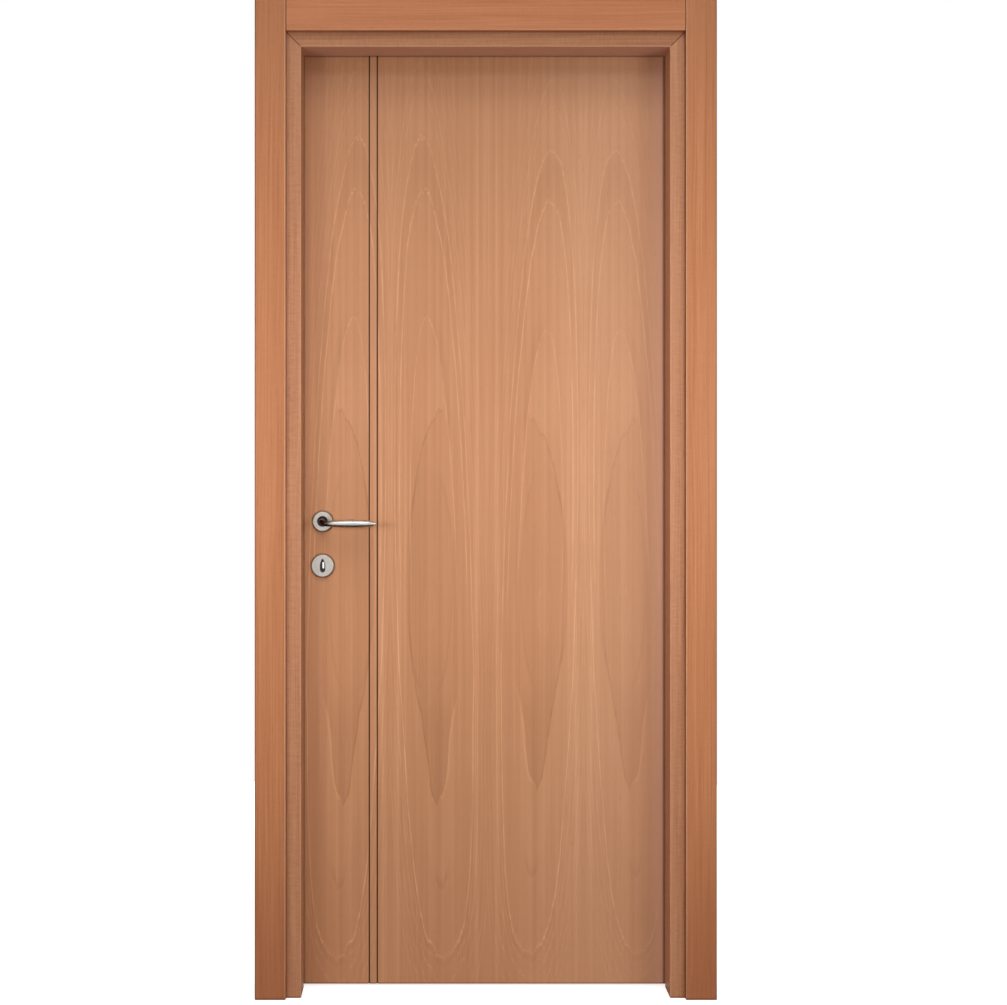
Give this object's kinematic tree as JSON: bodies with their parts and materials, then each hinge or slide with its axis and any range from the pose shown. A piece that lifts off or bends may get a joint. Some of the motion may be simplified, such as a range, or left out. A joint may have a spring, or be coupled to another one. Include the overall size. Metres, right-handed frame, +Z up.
{
  "type": "flush door",
  "caption": "Interior flush door: veneered rebated leaf with routed lines and lever handles, hung on lift-off hinges in a mitred timber lining with casings on both sides.",
  "frame": {"origin": "on the floor at the foot of the hinge jamb, on its wall-side face, midway through the wall", "axes": "+X to the right seen from the side the leaf opens away from, +Y through the wall towards the side it opens to, +Z up"},
  "size_m": [1.017, 0.1885, 2.201],
  "materials": {
    "lining_veneer": "satin lacquered veneer",
    "casing_veneer": "satin lacquered straight-grained veneer",
    "leaf_veneer": "satin lacquered crown-cut veneer, book-matched",
    "leaf_edge_wood": "veneered edge",
    "honeycomb_core": "plain",
    "seal_rubber": "matt dark brown",
    "satin_nickel": "satin nickel",
    "hinge_nickel": "nickel plated",
    "plated_steel": "nickel plated steel"
  },
  "bodies": {
    "lining": {"hinge_jamb": "lining_veneer", "lock_jamb": "lining_veneer", "head_jamb": "lining_veneer", "casing_front_left": "casing_veneer", "casing_front_right": "casing_veneer", "casing_front_head": "casing_veneer", "casing_back_left": "casing_veneer", "casing_back_right": "casing_veneer", "casing_back_head": "casing_veneer", "seal_hinge": "seal_rubber", "seal_lock": "seal_rubber", "seal_head": "seal_rubber", "strike_plate": "plated_steel", "hinge_bottom_frame_half": "hinge_nickel", "hinge_middle_frame_half": "hinge_nickel", "hinge_top_frame_half": "hinge_nickel"},
    "leaf": {"front_skin": "leaf_veneer", "back_skin": "leaf_veneer", "lock_stile": "leaf_edge_wood", "hinge_stile": "leaf_edge_wood", "top_rail": "leaf_edge_wood", "bottom_rail": "leaf_edge_wood", "core_panel": "honeycomb_core", "lock_case": "plated_steel", "lock_faceplate": "plated_steel", "latch_bolt": "plated_steel", "dead_bolt": "plated_steel", "handle_rosette_front": "satin_nickel", "handle_rosette_back": "satin_nickel", "key_escutcheon_front": "satin_nickel", "key_escutcheon_back": "satin_nickel", "hinge_bottom_leaf_half": "hinge_nickel", "hinge_middle_leaf_half": "hinge_nickel", "hinge_top_leaf_half": "hinge_nickel"},
    "lever_set": {"lever_front": "satin_nickel", "lever_back": "satin_nickel", "spindle": "plated_steel"}
  },
  "joints": [
    {"name": "leaf_swing", "type": "hinge", "parent": "lining", "child": "leaf", "pos_m": [-0.0125, 0.07, 1.056], "axis": [0, 0, -1], "range_deg": [0, 170]},
    {"name": "lever_turn", "type": "hinge", "parent": "leaf", "child": "lever_set", "pos_m": [-0.8145, 0.045, 1.05], "axis": [0, 1, 0], "range_deg": [0, 45], "stiffness_Nm_per_rad": 1.5, "springref_deg": -28.65}
  ]
}
